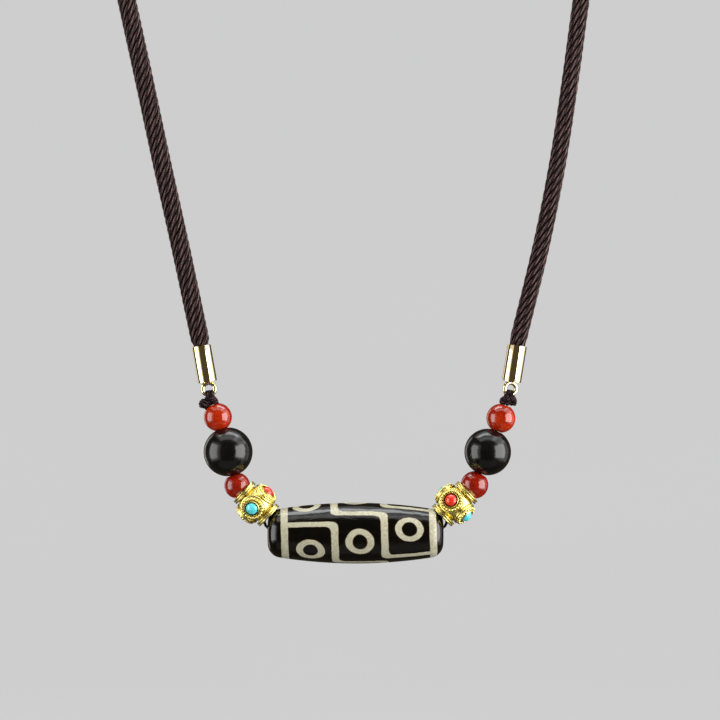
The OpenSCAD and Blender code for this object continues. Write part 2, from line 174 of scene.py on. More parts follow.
def softbox(name, azimuth, elevation, distance, width, height, radiance, tint):
    """A rectangle of even light that faces the beads. Azimuth 0 is at the camera, and 90 to its right."""
    az, el = math.radians(azimuth), math.radians(elevation)
    away = np.array([math.sin(az) * math.cos(el), -math.cos(az) * math.cos(el), math.sin(el)])
    data = bpy.data.lights.new(name, "AREA")
    data.shape, data.size, data.size_y = "RECTANGLE", width, height
    data.energy, data.color = radiance * math.pi * width * height, tint
    lamp = bpy.data.objects.new(name, data)
    lamp.location = np.array(LIT_POINT) + away * distance
    lamp.rotation_mode = "QUATERNION"
    lamp.rotation_quaternion = Vector(away).to_track_quat("Z", "Y")
    lamp.visible_camera = False
    bpy.context.scene.collection.objects.link(lamp)


# Meshes

# A point that is nearer to the axis than this lies on it, in mm
ON_AXIS = 1e-6


def turned(outline, sides=72):
    """A solid of revolution about Z from (radius, height) pairs: they close up or end on the axis."""
    points, rings = [], []
    for radius, height in outline:
        if radius < ON_AXIS:
            rings.append([len(points)] * sides)
            points.append((0, 0, height))
            continue
        rings.append(list(range(len(points), len(points) + sides)))
        for k in range(sides):
            a = 2 * math.pi * k / sides
            points.append((radius * math.cos(a), radius * math.sin(a), height))
    pairs = list(zip(rings, rings[1:]))
    if outline[0][0] > ON_AXIS:
        pairs.append((rings[-1], rings[0]))
    faces = []
    for low, high in pairs:
        for k in range(sides):
            m = (k + 1) % sides
            corners = [low[k], low[m], high[m], high[k]]
            faces.append(tuple(dict.fromkeys(corners)))
    return np.array(points, float), faces


def arc(centre, radius, start, end, steps):
    """Points of a circle's arc in an outline, angles in degrees."""
    angles = np.radians(np.linspace(start, end, steps + 1))
    return [(centre[0] + radius * math.cos(a), centre[1] + radius * math.sin(a)) for a in angles]


def wire_ring(radius, height, wire_d, sides=72, steps=10):
    """A ring of round wire about Z."""
    return turned(arc((radius, height), wire_d / 2, 0, 360, steps)[:-1], sides)


def balls(centres, d):
    """Round grains of one size at the given centres."""
    bm = bmesh.new()
    bmesh.ops.create_icosphere(bm, subdivisions=3, radius=0.5)
    unit = np.array([v.co[:] for v in bm.verts])
    facets = [tuple(v.index for v in f.verts) for f in bm.faces]
    bm.free()
    points, faces = [], []
    for centre in centres:
        faces += [tuple(i + len(unit) * len(points) for i in f) for f in facets]
        points.append(unit * d + centre)
    return np.concatenate(points), faces


def moved(shell, place=(0, 0, 0), turn=None):
    """A shell turned by a matrix, then put in its place."""
    points, faces = shell
    if turn is not None:
        points = points @ np.asarray(turn).T
    return points + np.asarray(place, float), faces


def joined(shells):
    """Several shells as one."""
    points, faces, count = [], [], 0
    for shell_points, shell_faces in shells:
        faces += [tuple(i + count for i in f) for f in shell_faces]
        points.append(shell_points)
        count += len(shell_points)
    return np.concatenate(points), faces


def make_piece(name, shell, finish, stands_for=(), uvs=None, crease=40):
    """A piece of the necklace from a shell in mm, with its finish."""
    points, faces = shell
    mesh = bpy.data.meshes.new(name)
    mesh.from_pydata((points * MM).tolist(), [], faces)
    if uvs is not None:
        layer = mesh.uv_layers.new(name="surface")
        layer.data.foreach_set("uv", np.asarray(uvs, np.float32).ravel())
    bm = bmesh.new()
    bm.from_mesh(mesh)
    bmesh.ops.recalc_face_normals(bm, faces=bm.faces)
    bm.to_mesh(mesh)
    bm.free()
    mesh.shade_smooth()
    mesh.set_sharp_from_angle(angle=math.radians(crease))
    mesh.materials.append(finish)
    made = bpy.data.objects.new(name, mesh)
    bpy.context.scene.collection.objects.link(made)
    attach(made, "root")
    if stands_for:
        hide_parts(*stands_for)


def run_along(points):
    """How far along a line each of its points lies."""
    return np.concatenate([[0], np.cumsum(np.linalg.norm(np.diff(points, axis=0), axis=1))])


def even_line(points, spacing):
    """The same line with its points an even distance apart."""
    run = run_along(points)
    stations = np.linspace(0, run[-1], max(2, int(round(run[-1] / spacing)) + 1))
    return np.stack([np.interp(stations, run, points[:, k]) for k in range(3)], axis=1)


def smooth_line(route, spacing, steps=24):
    """An even line of points through a route, with tangents that follow each point's neighbours."""
    route = np.array([np.asarray(point, float) for point in route])
    last = len(route) - 1
    following = np.minimum(np.arange(last + 1) + 1, last)
    leading = np.maximum(np.arange(last + 1) - 1, 0)
    heading = route[following] - route[leading]
    heading /= np.linalg.norm(heading, axis=1)[:, None]
    fine = []
    for i in range(last):
        span = np.linalg.norm(route[i + 1] - route[i])
        for t in np.linspace(0, 1, steps, endpoint=False):
            u = 1 - t
            fine.append(
                route[i] * (1 + 2 * t) * u * u + heading[i] * span * t * u * u
                + route[i + 1] * t * t * (3 - 2 * t) - heading[i + 1] * span * t * t * u
            )
    return even_line(np.array(fine + [route[-1]]), spacing)


def cord_frames(line):
    """The direction of a line at each point, and a direction square to it that never twists."""
    tangents = np.gradient(line, axis=0)
    tangents /= np.linalg.norm(tangents, axis=1)[:, None]
    side = np.cross(tangents[0], [0.0, 1.0, 0.3])
    sides = []
    for tangent in tangents:
        side = side - tangent * (side @ tangent)
        side = side / np.linalg.norm(side)
        sides.append(side)
    return tangents, sides


def cord_section(radius, pitch, plies, ply_steps, groove):
    """The corners of a cord's section, as (angle, distance from the middle): a round back for each ply.

    Groove says how much deeper the hollows between the plies are than round backs make them."""
    half = math.pi / plies
    slant = math.hypot(1, 2 * math.pi * radius / pitch)
    ply_r = radius * math.sin(half) / (slant + math.sin(half))
    section = []
    for ply in range(plies):
        for roll in np.linspace(-math.pi / 2, math.pi / 2, ply_steps, endpoint=False):
            angle = (2 * ply + 1 + math.sin(roll)) * half
            back = math.cos(roll) - (1 - math.cos(roll)) * groove
            section.append((angle, radius + ply_r * (back - 1)))
    return section


def twisted_cord(line, radius, pitch, plies, ply_steps, groove):
    """A cord of round plies laid right-handed round each other along a line.

    Radius and pitch are each one value, or a value for each point of the line. It returns the shell and,
    for each face corner, the place across the plies and along the cord in mm."""
    line = np.asarray(line, float)
    count, around = len(line), plies * ply_steps
    radius, pitch = np.broadcast_to(radius, count), np.broadcast_to(pitch, count)
    run = run_along(line)
    lay = np.concatenate([[0], np.cumsum(np.diff(run) * 2 * math.pi / (0.5 * (pitch[1:] + pitch[:-1])))])
    points = []
    for i, (tangent, side) in enumerate(zip(*cord_frames(line))):
        up = np.cross(tangent, side)
        for angle, reach in cord_section(radius[i], pitch[i], plies, ply_steps, groove):
            a = angle + lay[i]
            points.append(line[i] + reach * (math.cos(a) * side + math.sin(a) * up))
    faces, uvs = [], []
    for i in range(count - 1):
        for k in range(around):
            m = (k + 1) % around
            faces.append((i * around + k, i * around + m, (i + 1) * around + m, (i + 1) * around + k))
            uvs += [(k / ply_steps, run[i]), ((k + 1) / ply_steps, run[i]),
                    ((k + 1) / ply_steps, run[i + 1]), (k / ply_steps, run[i + 1])]
    for ring, end in ((0, line[0]), (count - 1, line[-1])):
        points.append(end)
        for k in range(around):
            m = (k + 1) % around
            faces.append((len(points) - 1, ring * around + k, ring * around + m))
            uvs += [(k / ply_steps, run[ring])] * 3
    return (np.array(points), faces), uvs


# Node work


class Bench:
    """Lays the nodes of one material or group, and joins them."""

    def __init__(self, tree):
        self.tree = tree

    def node(self, kind, settings=None, inputs=None):
        """A node with its settings, and its inputs fed with values or sockets."""
        made = self.tree.nodes.new("ShaderNode" + kind)
        for name, value in (settings or {}).items():
            setattr(made, name, value)
        for name, value in (inputs or {}).items():
            self.feed(made.inputs[name], value)
        return made

    def feed(self, socket, value):
        """Joins a socket to another one, or sets its value."""
        if isinstance(value, bpy.types.NodeSocket):
            self.tree.links.new(value, socket)
        else:
            socket.default_value = value

    def math(self, operation, *values):
        """The result of a sum with numbers or sockets."""
        return self.node("Math", {"operation": operation}, dict(enumerate(values))).outputs[0]

    def vector(self, operation, *values):
        """The result of a sum with vectors."""
        return self.node("VectorMath", {"operation": operation}, dict(enumerate(values))).outputs[0]

    def length(self, vector):
        """How long a vector is."""
        return self.node("VectorMath", {"operation": "LENGTH"}, {0: vector}).outputs["Value"]

    def scaled(self, vector, factor):
        """A vector times a number."""
        return self.node("VectorMath", {"operation": "SCALE"}, {0: vector, "Scale": factor}).outputs[0]

    def split(self, vector):
        """The three parts of a vector."""
        return self.node("SeparateXYZ", None, {0: vector}).outputs

    def plane(self, first, second):
        """A vector from its first two parts."""
        return self.node("CombineXYZ", None, {0: first, 1: second}).outputs[0]

    def least(self, values):
        """The smallest of several values."""
        found = values[0]
        for value in values[1:]:
            found = self.math("MINIMUM", found, value)
        return found

    def fade(self, value, start, end, low=0.0, high=1.0):
        """Goes smoothly from low to high as the value goes from start to end."""
        made = self.node(
            "MapRange", {"interpolation_type": "SMOOTHSTEP"},
            {"Value": value, "From Min": start, "From Max": end, "To Min": low, "To Max": high},
        )
        return made.outputs["Result"]

    def mix(self, mask, first, second):
        """The second colour where the mask is 1, and the first where it is 0."""
        made = self.node("Mix", {"data_type": "RGBA"}, {0: mask, 6: first, 7: second})
        return made.outputs[2]

    def noise(self, place, scale, detail=3.0, output="Fac"):
        """Soft noise from 0 to 1, or the same in three parts with the output Color."""
        inputs = {"Vector": place, "Scale": scale, "Detail": detail, "Roughness": 0.55}
        return self.node("TexNoise", None, inputs).outputs[output]

    def bump(self, height, distance, strength=1.0, normal=None):
        """The surface's normal over a relief, which may lie on top of another one."""
        inputs = {"Height": height, "Distance": distance, "Strength": strength}
        if normal is not None:
            inputs["Normal"] = normal
        return self.node("Bump", None, inputs).outputs["Normal"]

    def surface_map(self):
        """The piece's own map: across and along a strand, or where gilt has painted shade and dirt in the gap
        round a stone.
        """
        return self.node("UVMap", {"uv_map": "surface"}).outputs[0]

    def place(self):
        """Where a point is on the necklace, in metres."""
        return self.node("TexCoord").outputs["Object"]


def colour(red, green, blue):
    """An opaque colour, in linear values."""
    return (red, green, blue, 1.0)


def start_finish(name):
    """A new material: its bench and its surface shader."""
    material = bpy.data.materials.new(name)
    material.use_nodes = True
    material.node_tree.nodes.clear()
    bench = Bench(material.node_tree)
    shader = bench.node("BsdfPrincipled")
    output = bench.node("OutputMaterial")
    bench.tree.links.new(shader.outputs[0], output.inputs["Surface"])
    return material, bench, shader


def dress(bench, shader, **values):
    """Sets the shader's inputs: Base_Color stands for Base Color."""
    for name, value in values.items():
        bench.feed(shader.inputs[name.replace("_", " ")], value)


def start_group(name, inputs, outputs):
    """A new node group: its bench, its input node's sockets and its output node."""
    tree = bpy.data.node_groups.new(name, "ShaderNodeTree")
    for title, kind, value in inputs:
        made = tree.interface.new_socket(title, in_out="INPUT", socket_type="NodeSocket" + kind)
        if value is not None:
            made.default_value = value
    for title, kind in outputs:
        tree.interface.new_socket(title, in_out="OUTPUT", socket_type="NodeSocket" + kind)
    entry = tree.nodes.new("NodeGroupInput")
    leave = tree.nodes.new("NodeGroupOutput")
    return tree, Bench(tree), entry.outputs, leave.inputs


def use_group(bench, tree, **inputs):
    """Places a group in a material with its own values."""
    made = bench.tree.nodes.new("ShaderNodeGroup")
    made.node_tree = tree
    for name, value in inputs.items():
        bench.feed(made.inputs[name.replace("_", " ")], value)
    return made.outputs


# Finishes

# The etched lines, in mm along the long bead and degrees up from the front:
# (angle on the left, angle between the two steps, angle on the right)
STEPPED_LINES = [(21, -69, -167), (140, 44, -50), (260, 163, 68)]
STEP_X = (-4.4, 6.2)
STEP_ROUND = 2.6
BAND_X = (-15.1, 16.55)
LINE_SLANT = 0.03
LINE_HALF = 0.77
GIRTH_STRETCH = 1.4
# (along, angle, half length, half girth, pupil's half length, pupil's half girth)
EYES = [
    (-9.64, -34.3, 3.06, 2.58, 1.60, 1.48), (0.90, -14.0, 3.07, 2.88, 1.62, 1.68),
    (11.50, 11.4, 3.02, 2.66, 1.62, 1.55), (-10.3, 78, 3.05, 2.60, 1.58, 1.46),
    (0.10, 100, 3.06, 2.90, 1.60, 1.66), (11.30, 130, 3.02, 2.66, 1.60, 1.55),
    (-9.90, 204, 3.06, 2.60, 1.58, 1.46), (0.60, 225, 3.06, 2.90, 1.60, 1.66),
    (11.40, 250, 3.02, 2.66, 1.60, 1.55),
]


def hand_drawn(bench, place, wander):
    """A place in mm from the long bead's middle, shifted by as much as a hand wanders, in mm."""
    local = bench.scaled(bench.vector("ADD", place, (0, -FRONT_Y * MM, -BEAD_LINE_Z * MM)), 1 / MM)
    drift = bench.vector("SUBTRACT", bench.noise(local, 0.35, 2.0, "Color"), (0.5, 0.5, 0.5))
    tremor = bench.vector("SUBTRACT", bench.noise(local, 1.6, 2.0, "Color"), (0.5, 0.5, 0.5))
    shift = bench.scaled(bench.vector("ADD", drift, bench.scaled(tremor, 0.45)), wander)
    return bench.split(bench.vector("ADD", local, shift))


def turn_near(bench, turn, degrees):
    """The angle round the girth, wrapped so that it jumps only on the far side of a place."""
    angle = math.radians(degrees)
    return bench.math("WRAP", turn, angle + math.pi, angle - math.pi)


def band(bench, along, x):
    """How far a point lies outside a band round the whole girth."""
    return bench.math("SUBTRACT", bench.math("ABSOLUTE", bench.math("SUBTRACT", along, x)), LINE_HALF)


def stepped_line(bench, along, turn, radius, angles):
    """How far a point lies outside a line that runs from band to band in two rounded steps."""
    wound = turn_near(bench, turn, (angles[0] + angles[2]) / 2)
    stretched = bench.math("MULTIPLY", radius, GIRTH_STRETCH)
    rise = [
        bench.math("MULTIPLY", bench.math("SUBTRACT", wound, math.radians(angle)), stretched)
        for angle in angles
    ]
    first, second = (
        bench.math("SMOOTH_MAX", bench.math("SUBTRACT", along, x), level, STEP_ROUND)
        for x, level in zip(STEP_X, rise)
    )
    field = bench.math("SMOOTH_MIN", bench.math("SMOOTH_MIN", first, second, STEP_ROUND), rise[2], STEP_ROUND)
    line = bench.math("SUBTRACT", bench.math("ABSOLUTE", field), LINE_HALF)
    left_band, right_band = BAND_X
    from_middle = bench.math("ABSOLUTE", bench.math("SUBTRACT", along, (left_band + right_band) / 2))
    past_bands = bench.math("SUBTRACT", from_middle, (right_band - left_band) / 2)
    return bench.math("MAXIMUM", line, past_bands)


def eye(bench, along, turn, radius, x, degrees, half, girth, pupil_half, pupil_girth):
    """How far a point lies outside the ring of an eye, whose pupil is left dark."""
    rise = bench.math("SUBTRACT", turn_near(bench, turn, degrees), math.radians(degrees))
    spot = bench.plane(bench.math("SUBTRACT", along, x), bench.math("MULTIPLY", rise, radius))
    outer = bench.length(bench.vector("MULTIPLY", spot, (1 / half, 1 / girth, 0)))
    inner = bench.length(bench.vector("MULTIPLY", spot, (1 / pupil_half, 1 / pupil_girth, 0)))
    outer = bench.math("MULTIPLY", bench.math("SUBTRACT", outer, 1.0), (half + girth) / 2)
    inner = bench.math("MULTIPLY", bench.math("SUBTRACT", 1.0, inner), (pupil_half + pupil_girth) / 2)
    return bench.math("MAXIMUM", outer, inner)


def etched_lines_group():
    """How far a point of the long bead lies from its etched lines and eyes, in mm: below 0 is inside one."""
    tree, bench, given, out = start_group(
        "etched lines and eyes",
        [("Place", "Vector", None), ("Wander", "Float", 0.6)],
        [("Distance", "Float")],
    )
    along, depth, height = hand_drawn(bench, given["Place"], given["Wander"])
    along = bench.math("MULTIPLY_ADD", height, LINE_SLANT, along)
    radius = bench.length(bench.plane(depth, height))
    turn = bench.math("ARCTAN2", height, bench.math("MULTIPLY", depth, -1.0))
    found = [band(bench, along, x) for x in BAND_X]
    found += [stepped_line(bench, along, turn, radius, angles) for angles in STEPPED_LINES]
    found += [eye(bench, along, turn, radius, *sizes) for sizes in EYES]
    bench.feed(out["Distance"], bench.least(found))
    return tree


def mottle_group():
    """Soft blotches, clouded veins and fine specks that a natural surface has."""
    tree, bench, given, out = start_group(
        "mottle",
        [("Place", "Vector", None), ("Blotch Scale", "Float", 300.0), ("Speck Scale", "Float", 2500.0)],
        [("Blotch", "Float"), ("Speck", "Float"), ("Vein", "Float")],
    )
    drawn_out = bench.vector("MULTIPLY", given["Place"], (1.0, 1.0, 2.2))
    vein_scale = bench.math("MULTIPLY", given["Blotch Scale"], 0.73)
    bench.feed(out["Blotch"], bench.fade(bench.noise(given["Place"], given["Blotch Scale"], 3.0), 0.3, 0.7))
    bench.feed(out["Speck"], bench.fade(bench.noise(given["Place"], given["Speck Scale"], 2.0), 0.3, 0.7))
    bench.feed(out["Vein"], bench.fade(bench.noise(drawn_out, vein_scale, 4.0), 0.42, 0.6))
    return tree


def fibre_relief_and_light_group():
    """The fine fibres of each strand, from a strand's map: across it, and along it in mm. Besides the fibres'
    relief it gives masks for painted light: a lit crown on each strand, painted highlights on the fibres and
    painted shade in the furrows.
    """
    tree, bench, given, out = start_group(
        "fibre relief and painted light",
        [("Map", "Vector", None), ("Place", "Vector", None), ("Fibres", "Float", 3.0), ("Lay", "Float", 2.0)],
        [("Lit Crown", "Float"), ("Glint", "Float"), ("Furrow Shade", "Float"), ("Relief", "Float")],
    )
    across, along, _ = bench.split(given["Map"])
    in_strand = bench.math("FRACT", across)
    crown = bench.math("SINE", bench.math("MULTIPLY", in_strand, math.pi))
    wound = bench.math("DIVIDE", along, given["Lay"])
    twist = bench.math("MULTIPLY_ADD", in_strand, given["Fibres"], wound)
    ridge = bench.math("ABSOLUTE", bench.math("SINE", bench.math("MULTIPLY", twist, math.pi)))
    hairs = bench.math("ABSOLUTE", bench.math("SINE", bench.math("MULTIPLY", twist, math.pi * 3.3)))
    fuzz = bench.noise(given["Place"], 5200.0, 2.0)
    tone = bench.fade(bench.noise(given["Place"], 900.0, 2.0), 0.3, 0.6, 0.25, 1.0)
    # Painted highlight: a glint on the fibres near each strand's crown
    shine = bench.math("MULTIPLY", bench.fade(ridge, 0.75, 1.0), bench.fade(crown, 0.6, 0.9))
    shine = bench.math("MULTIPLY", shine, bench.fade(hairs, 0.1, 0.8, 0.35, 1.0))
    # Painted light and shade: each strand is lit at its crown and shaded in the hollows between strands
    bench.feed(out["Lit Crown"], bench.fade(crown, 0.55, 0.9))
    bench.feed(out["Glint"], bench.math("MULTIPLY", shine, tone))
    # Painted shade: dark in the furrows between the fibres
    bench.feed(out["Furrow Shade"], bench.fade(ridge, 0.5, 0.0, 0.0, 0.6))
    rough = bench.math("ADD", bench.math("MULTIPLY", fuzz, 0.4), bench.math("MULTIPLY", hairs, 0.3))
    bench.feed(out["Relief"], bench.math("ADD", ridge, rough))
    return tree


MOTTLE = mottle_group()
FIBRE_RELIEF_AND_LIGHT = fibre_relief_and_light_group()


def etched_stone():
    """Near-black agate with cream lines etched into it, each with a thin brown edge, under a high polish."""
    material, bench, shader = start_finish("etched_stone")
    place = bench.place()
    pattern = use_group(bench, etched_lines_group(), Place=place, Wander=0.3)
    spots = use_group(bench, MOTTLE, Place=place, Blotch_Scale=220.0, Speck_Scale=2600.0)
    streaks = bench.noise(bench.vector("MULTIPLY", place, (0.25, 1.0, 1.0)), 900.0, 3.0)
    cream = bench.mix(spots["Speck"], colour(0.33, 0.305, 0.20), colour(0.50, 0.475, 0.345))
    cream = bench.mix(bench.fade(spots["Blotch"], 0.2, 1.0, 0.0, 0.6), cream, colour(0.42, 0.415, 0.30))
    dark = bench.mix(spots["Blotch"], colour(0.0006, 0.0006, 0.0004), colour(0.0022, 0.0016, 0.0008))
    dark = bench.mix(bench.fade(streaks, 0.5, 0.75, 0.0, 0.6), dark, colour(0.0055, 0.0045, 0.0022))
    distance = pattern["Distance"]
    edge = bench.fade(distance, 0.0, 0.24, 1.0, 0.0)
    ground = bench.mix(edge, dark, colour(0.035, 0.011, 0.006))
    line = bench.fade(distance, -0.07, 0.05, 1.0, 0.0)
    dress(bench, shader, Base_Color=bench.mix(line, ground, cream),
          Roughness=bench.fade(line, 0.0, 1.0, 0.13, 0.3), IOR=1.5)
    waver = bench.noise(bench.vector("MULTIPLY", place, (0.35, 1.0, 1.0)), 520.0, 3.0)
    normal = bench.bump(waver, 0.0001)
    bench.feed(shader.inputs["Normal"], bench.bump(bench.math("MULTIPLY", line, -1.0), 0.00002, 0.6, normal))
    return material


def black_stone():
    """Satin black stone with a faint brown cast."""
    material, bench, shader = start_finish("black_stone")
    place = bench.place()
    spots = use_group(bench, MOTTLE, Place=place, Blotch_Scale=260.0, Speck_Scale=1800.0)
    dark = bench.mix(spots["Blotch"], colour(0.0022, 0.0022, 0.0022), colour(0.0046, 0.0042, 0.0034))
    scratches = bench.noise(bench.vector("MULTIPLY", place, (0.2, 0.2, 1.0)), 2600.0, 2.0)
    dress(bench, shader, Base_Color=dark,
          Roughness=bench.fade(spots["Blotch"], 0.0, 1.0, 0.14, 0.2), IOR=1.48)
    bench.feed(shader.inputs["Normal"], bench.bump(scratches, 0.000014))
    return material


def carnelian(name, bright, deep):
    """Polished translucent stone, clouded from a bright to a deeper red."""
    material, bench, shader = start_finish(name)
    place = bench.place()
    spots = use_group(bench, MOTTLE, Place=place, Blotch_Scale=330.0, Speck_Scale=1500.0)
    body = bench.mix(bench.math("MULTIPLY", spots["Blotch"], spots["Vein"]), bright, deep)
    body = bench.mix(bench.fade(spots["Speck"], 0.5, 1.0, 0.0, 0.25), body, deep)
    dress(bench, shader, Base_Color=body, Roughness=0.1, IOR=1.54, Coat_Weight=0.3, Coat_Roughness=0.05,
          Subsurface_Weight=0.32, Subsurface_Radius=(1.0, 0.32, 0.1), Subsurface_Scale=0.0012)
    bench.feed(shader.inputs["Normal"], bench.bump(bench.noise(place, 240.0, 1.0), 0.00002))
    return material


def small_stone(name, light, dark, vein):
    """A polished opaque cabochon, faintly clouded and veined."""
    material, bench, shader = start_finish(name)
    place = bench.place()
    spots = use_group(bench, MOTTLE, Place=place, Blotch_Scale=1100.0, Speck_Scale=5200.0)
    body = bench.mix(spots["Blotch"], light, dark)
    body = bench.mix(bench.fade(spots["Speck"], 0.7, 1.0, 0.0, 0.5), body, vein)
    dress(bench, shader, Base_Color=body, Roughness=0.2, IOR=1.55, Subsurface_Weight=0.12,
          Subsurface_Radius=(0.6, 0.5, 0.5), Subsurface_Scale=0.0004, Coat_Weight=0.3, Coat_Roughness=0.08)
    return material


def gilt(name, light, deep, roughness, unevenness, gap_shade_and_dirt=None):
    """Gilt metal, a little uneven from its casting, and darkened in the gap round a stone by painted shade
    and dirt.
    """
    material, bench, shader = start_finish(name)
    place = bench.place()
    spots = use_group(bench, MOTTLE, Place=place, Blotch_Scale=900.0, Speck_Scale=4200.0)
    body = bench.mix(spots["Blotch"], light, deep)
    # Painted shade and dirt: the gap round a stone is darkened
    if gap_shade_and_dirt is not None:
        body = bench.mix(bench.split(bench.surface_map())[0], body, gap_shade_and_dirt)
    dress(bench, shader, Base_Color=body, Metallic=1.0,
          Roughness=bench.fade(spots["Blotch"], 0.0, 1.0, roughness, roughness * 1.4))
    bench.feed(shader.inputs["Normal"], bench.bump(spots["Blotch"], unevenness))
    return material


def yarn(name, light, dark, glint, fibres, lay):
    """Silky yarn with painted light: a lighter crown on each strand, painted highlights on its fine fibres,
    and painted shade in the hollows and furrows between them.
    """
    material, bench, shader = start_finish(name)
    twist = use_group(bench, FIBRE_RELIEF_AND_LIGHT, Map=bench.surface_map(), Place=bench.place(),
                      Fibres=fibres, Lay=lay)
    # Painted light and shade: the light colour on each strand's crown, the dark one in the hollows between
    # strands
    body = bench.mix(twist["Lit Crown"], dark, light)
    # Painted highlight: the glint colour on the fibres
    body = bench.mix(twist["Glint"], body, glint)
    # Painted shade: the dark colour in the furrows between fibres
    body = bench.mix(twist["Furrow Shade"], body, dark)
    dress(bench, shader, Base_Color=body, Roughness=0.55, IOR=1.2, Sheen_Weight=0.08, Sheen_Roughness=0.3,
          Sheen_Tint=colour(1.0, 0.72, 0.70))
    bench.feed(shader.inputs["Normal"], bench.bump(twist["Relief"], 0.00014))
    return material


# Each yarn: the colour of a strand's lit crown, the painted shade of its hollows and furrows, the painted
# highlight of its fibres
ROPE_YARN = yarn("rope_yarn", colour(0.027, 0.0135, 0.013), colour(0.0008, 0.0003, 0.0003),
                 colour(0.175, 0.105, 0.095), 3.0, 2.1)
KNOT_THREAD = yarn("knot_thread", colour(0.010, 0.0045, 0.0055), colour(0.001, 0.0005, 0.0007),
                   colour(0.17, 0.085, 0.10), 2.0, 1.2)
UPPER_RED = carnelian("orange_carnelian", colour(0.39, 0.021, 0.001), colour(0.22, 0.006, 0.0005))
LOWER_RED = carnelian("dark_carnelian", colour(0.28, 0.010, 0.002), colour(0.18, 0.005, 0.001))
BLACK = black_stone()
TURQUOISE = small_stone("turquoise_stone", colour(0.12, 0.70, 0.74), colour(0.07, 0.54, 0.60),
                        colour(0.18, 0.80, 0.82))
CORAL = small_stone("coral_stone", colour(0.80, 0.034, 0.007), colour(0.64, 0.018, 0.005),
                    colour(0.88, 0.13, 0.04))
# The last colour is the painted shade and dirt in the gap round each stone
YELLOW_GILT = gilt("yellow_gilt", colour(0.92, 0.82, 0.32), colour(0.88, 0.74, 0.22), 0.27, 0.000003,
                   colour(0.03, 0.02, 0.008))
PALE_GILT = gilt("pale_gilt", colour(1.0, 0.85, 0.50), colour(0.98, 0.81, 0.44), 0.02, 0.000001)
ETCHED = etched_stone()

# Rope and knots

ROPE_RADIUS = {LEFT: 2.04, RIGHT: 1.85}
ROPE_PITCH = {LEFT: 13.9, RIGHT: 18.6}
ROPE_STRANDS, ROPE_STEP = 8, 0.6
# Where the left side's thickness and lay go over into the right side's, as shares of the way
CHANGE_START, CHANGE_END = 0.4, 0.6
# The length over which the rope swells out of a cap
ROPE_SWELL = 1.6
THREAD_PITCH, THREAD_STEP = 2.2, 0.35
# The lay of the knots' thread, and the thread's radius in the loops through the eyes
KNOT_PITCH, LOOP_R = 2.4, 0.31


def eased(share):
    """Goes smoothly from 0 to 1 as the share does."""
    share = np.clip(share, 0, 1)
    return share * share * (3 - 2 * share)


def lay_rope():
    """One rope from cap to cap: thicker and laid tighter on the left, drawn in where it enters the caps."""
    nape = [(0, ROPE_D / 2, 0)]
    line = smooth_line(rope_side(LEFT) + nape + rope_side(RIGHT)[::-1], ROPE_STEP)
    into_left, into_right = (
        even_line(np.array([cap_at(side, CAP_FLOOR + 3 * FIT_GAP), cap_at(side, CAP_LENGTH)]), ROPE_STEP)
        for side in (LEFT, RIGHT)
    )
    line = np.concatenate([into_left, line, into_right[::-1]])
    run = run_along(line)
    share = eased((run / run[-1] - CHANGE_START) / (CHANGE_END - CHANGE_START))
    radius = ROPE_RADIUS[LEFT] + (ROPE_RADIUS[RIGHT] - ROPE_RADIUS[LEFT]) * share
    pitch = ROPE_PITCH[LEFT] + (ROPE_PITCH[RIGHT] - ROPE_PITCH[LEFT]) * share
    drawn_in = CAP_D / 2 - CAP_WALL - FIT_GAP
    out_of_cap = np.minimum(run, run[-1] - run) - (CAP_LENGTH - CAP_FLOOR)
    swell = np.sin(np.clip(out_of_cap / ROPE_SWELL, 0, 1) * math.pi / 2)
    radius = np.minimum(radius, drawn_in + (radius - drawn_in) * swell)
    shell, uvs = twisted_cord(line, radius, pitch, ROPE_STRANDS, ply_steps=10, groove=0.55)
    make_piece("rope_yarns", shell, ROPE_YARN, ["rope"], uvs, crease=70)


def wound_lobe(centre, tilt, width, height, thread_r):
    """A line that winds up round an axis into a small lobe, as the thread does in a knot."""
    rise_per_turn, steps_per_turn, roundness, nod = 1.75 * thread_r, 20, 0.8, 10
    turns = height / rise_per_turn
    t = np.linspace(0, 1, int(turns * steps_per_turn) + 1)
    a = 2 * math.pi * turns * t
    belly = (width / 2 - thread_r) * np.sqrt(1 - roundness * (2 * t - 1) ** 2)
    line = np.stack([belly * np.cos(a), belly * np.sin(a), (t - 0.5) * (height - 2 * thread_r)], axis=1)
    return line @ turn_about("y", tilt).T @ turn_about("x", nod).T + centre


def eye_loop(side, shift, tilt):
    """A loop of thread round the lower wire of a cap's eye."""
    a = np.linspace(0, 2 * math.pi, 40)
    reach, start = EYE_WIRE / 2 + LOOP_R + FIT_GAP / 2, 0.3
    across = shift + tilt * np.cos(a)
    line = np.stack([across, reach * np.cos(a + start), reach * np.sin(a + start)], axis=1)
    turn = turn_about("y", side * HANG[side]["cap"]) @ turn_about("z", HANG[side]["eye_turn"])
    return line @ turn.T + cap_at(side, -EYE_BELOW - (EYE_D - EYE_WIRE) / 2)


# The lobes of each knot, in mm: (x, y, z, tilt, width, height, radius of the thread)
KNOT_LOBES = {
    LEFT: [(-32.3, -128.0, -182.35, 14, 2.7, 2.4, 0.36), (-30.3, -128.2, -181.55, -35, 1.7, 2.4, 0.31),
           (-31.2, -127.9, -181.75, 60, 2.0, 2.4, 0.34), (-31.4, -128.3, -181.2, -70, 1.6, 2.0, 0.30)],
    RIGHT: [(31.75, -128.0, -181.65, 25, 1.9, 2.1, 0.31), (32.6, -128.3, -181.75, -25, 1.8, 2.2, 0.30),
            (33.7, -128.0, -181.65, -10, 1.9, 2.5, 0.32), (32.6, -127.8, -181.5, 80, 2.1, 2.8, 0.33),
            (33.0, -128.4, -181.1, 60, 1.5, 1.9, 0.29)],
}
